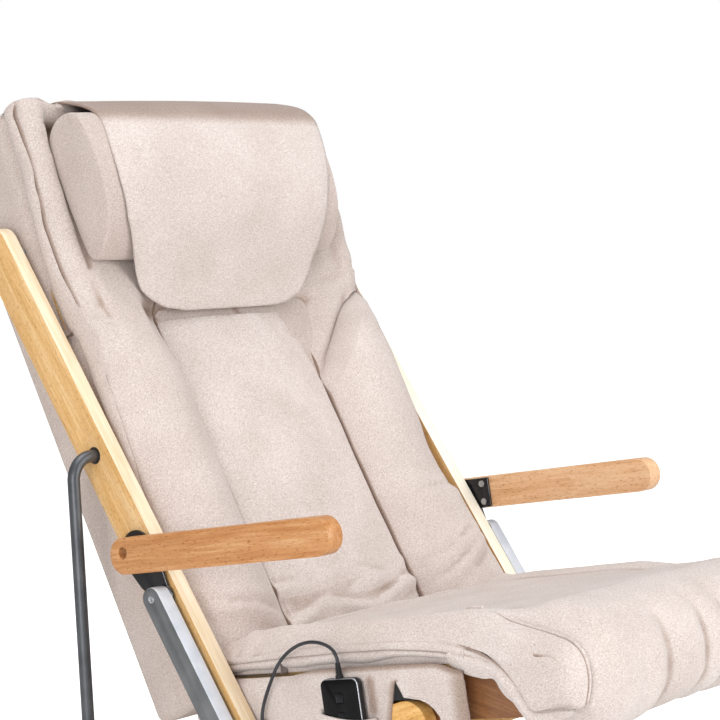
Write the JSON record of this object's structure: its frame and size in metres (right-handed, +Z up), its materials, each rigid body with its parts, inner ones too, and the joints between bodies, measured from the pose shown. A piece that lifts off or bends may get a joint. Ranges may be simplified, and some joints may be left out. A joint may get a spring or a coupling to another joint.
{
  "type": "folding massage chair",
  "caption": "Folding massage chair: wooden side rails and crossed legs, steel prop bow, padded back and seat, head pillow, folding armrests and a wired handset.",
  "frame": {"origin": "on the floor, under the middle of the chair's width and length", "axes": "+Z up, the sitter faces -Y, the sitter's right hand is at -X"},
  "size_m": [0.685, 0.9956, 0.9836],
  "materials": {
    "beech": "oiled golden beech",
    "arm_wood": "oiled, a little darker",
    "ply": "bare plywood",
    "cloth": "heathered oatmeal linen weave",
    "foam": "linen weave over soft foam",
    "steel": "dark grey satin",
    "black_steel": "black satin",
    "silver": "satin",
    "bright": "ground",
    "gear": "moulded",
    "rubber": "matt",
    "bush": "moulded",
    "case": "silver-grey lacquer",
    "screen": "gloss black",
    "key": "gloss black",
    "box": "moulded",
    "cable": "matt"
  },
  "bodies": {
    "frame": {"rail_right": "beech", "rail_left": "beech", "rail_feet": "rubber", "pivot_bushes": "bush", "pivot_washers": "bush", "back_frame": "ply", "back_mounts": "steel", "rear_cover": "cloth", "upper_back_pad": "foam", "centre_panel": "foam", "wing_right": "foam", "wing_left": "foam", "guide_rods": "bright", "rod_blocks": "steel", "lift_motor": "gear"},
    "pillow": {"head_pillow": "foam", "pillow_flap": "cloth"},
    "screw": {"lead_screw": "bright"},
    "carriage": {"massage_carriage": "gear", "knead_motor": "gear"},
    "kneader": {"knead_shaft": "bright"},
    "massage_right": {"massage_arm_right": "gear"},
    "massage_left": {"massage_arm_left": "gear"},
    "legs": {"leg_plank_right": "beech", "leg_plank_left": "beech", "leg_crossbars": "beech", "leg_rod": "steel", "leg_feet": "rubber"},
    "bow": {"prop_bow": "steel"},
    "seat": {"seat_frame": "ply", "seat_board": "ply", "seat_shafts": "steel", "seat_cranks": "black_steel", "seat_rests": "rubber", "seat_skirt_right": "cloth", "seat_skirt_left": "cloth", "seat_pad": "foam", "front_roll": "foam", "corner_roll": "foam", "control_box": "box", "power_inlet": "cable", "handset_pocket": "cloth", "handset_case": "case", "handset_face": "screen", "strain_relief": "cable", "handset_cable": "cable", "cable_grommet": "cable"},
    "power_key": {"power_button": "key"},
    "mode_key": {"mode_button": "key"},
    "level_key": {"level_button": "key"},
    "arm_right": {"armrest_right": "arm_wood", "arm_plate_right": "black_steel", "arm_bolts_right": "bright"},
    "arm_left": {"armrest_left": "arm_wood", "arm_plate_left": "black_steel", "arm_bolts_left": "bright"},
    "channel_right": {"link_right": "silver", "link_pins_right": "bright"},
    "channel_left": {"link_left": "silver", "link_pins_left": "bright"}
  },
  "joints": [
    {"name": "leg_fold", "type": "hinge", "parent": "frame", "child": "legs", "pos_m": [0, -0.07027, 0.20692], "axis": [-1, 0, 0], "range_deg": [0, 50]},
    {"name": "seat_fold", "type": "hinge", "parent": "frame", "child": "seat", "pos_m": [0, -0.00731, 0.28606], "axis": [-1, 0, 0], "range_deg": [0, 50], "deforming": ["corner_roll"]},
    {"name": "arm_right_fold", "type": "hinge", "parent": "frame", "child": "arm_right", "pos_m": [-0.3, 0.11309, 0.44701], "axis": [-1, 0, 0], "range_deg": [0, 50]},
    {"name": "arm_left_fold", "type": "hinge", "parent": "frame", "child": "arm_left", "pos_m": [0.3, 0.11309, 0.44701], "axis": [-1, 0, 0], "range_deg": [0, 50]},
    {"name": "channel_right_turn", "type": "hinge", "parent": "arm_right", "child": "channel_right", "pos_m": [-0.3, 0.06459, 0.39787], "axis": [-1, 0, 0], "range_deg": [-50, 0]},
    {"name": "channel_left_turn", "type": "hinge", "parent": "arm_left", "child": "channel_left", "pos_m": [0.3, 0.06459, 0.39787], "axis": [-1, 0, 0], "range_deg": [-50, 0]},
    {"name": "prop_swing", "type": "hinge", "parent": "frame", "child": "bow", "pos_m": [0, 0.18856, 0.5529], "axis": [1, 0, 0], "range_deg": [0, 120]},
    {"name": "pillow_lift", "type": "slide", "parent": "frame", "child": "pillow", "axis": [0, 0.4924, 0.8704], "range_m": [0, 0.03]},
    {"name": "lift_travel", "type": "slide", "parent": "frame", "child": "carriage", "axis": [0, 0.4924, 0.8704], "range_m": [0, 0.3]},
    {"name": "screw_turn", "type": "hinge", "parent": "frame", "child": "screw", "pos_m": [0, 0.17808, 0.39814], "axis": [0, 0.4924, 0.8704], "range_deg": [0, 5400.1]},
    {"name": "knead_turn", "type": "hinge", "parent": "carriage", "child": "kneader", "pos_m": [0, 0.17588, 0.47752], "axis": [1, 0, 0], "continuous": true},
    {"name": "massage_right_tap", "type": "hinge", "parent": "carriage", "child": "massage_right", "pos_m": [-0.094, 0.17588, 0.47752], "axis": [1, 0, 0], "range_deg": [-8, 8]},
    {"name": "massage_left_tap", "type": "hinge", "parent": "carriage", "child": "massage_left", "pos_m": [0.094, 0.17588, 0.47752], "axis": [1, 0, 0], "range_deg": [-8, 8]},
    {"name": "power_press", "type": "slide", "parent": "seat", "child": "power_key", "axis": [1, 0, 0], "range_m": [0, 0.001], "stiffness_N_per_m": 500, "springref_m": -0.0004},
    {"name": "mode_press", "type": "slide", "parent": "seat", "child": "mode_key", "axis": [1, 0, 0], "range_m": [0, 0.001], "stiffness_N_per_m": 500, "springref_m": -0.0004},
    {"name": "level_press", "type": "slide", "parent": "seat", "child": "level_key", "axis": [1, 0, 0], "range_m": [0, 0.001], "stiffness_N_per_m": 500, "springref_m": -0.0004}
  ],
  "couplings": [
    {"joint": "seat_fold", "follows": "leg_fold", "ratio": 1},
    {"joint": "arm_right_fold", "follows": "leg_fold", "ratio": 1},
    {"joint": "arm_left_fold", "follows": "leg_fold", "ratio": 1},
    {"joint": "channel_right_turn", "follows": "leg_fold", "ratio": -1},
    {"joint": "channel_left_turn", "follows": "leg_fold", "ratio": -1},
    {"joint": "screw_turn", "follows": "lift_travel", "rad_per_m": 314.16}
  ]
}
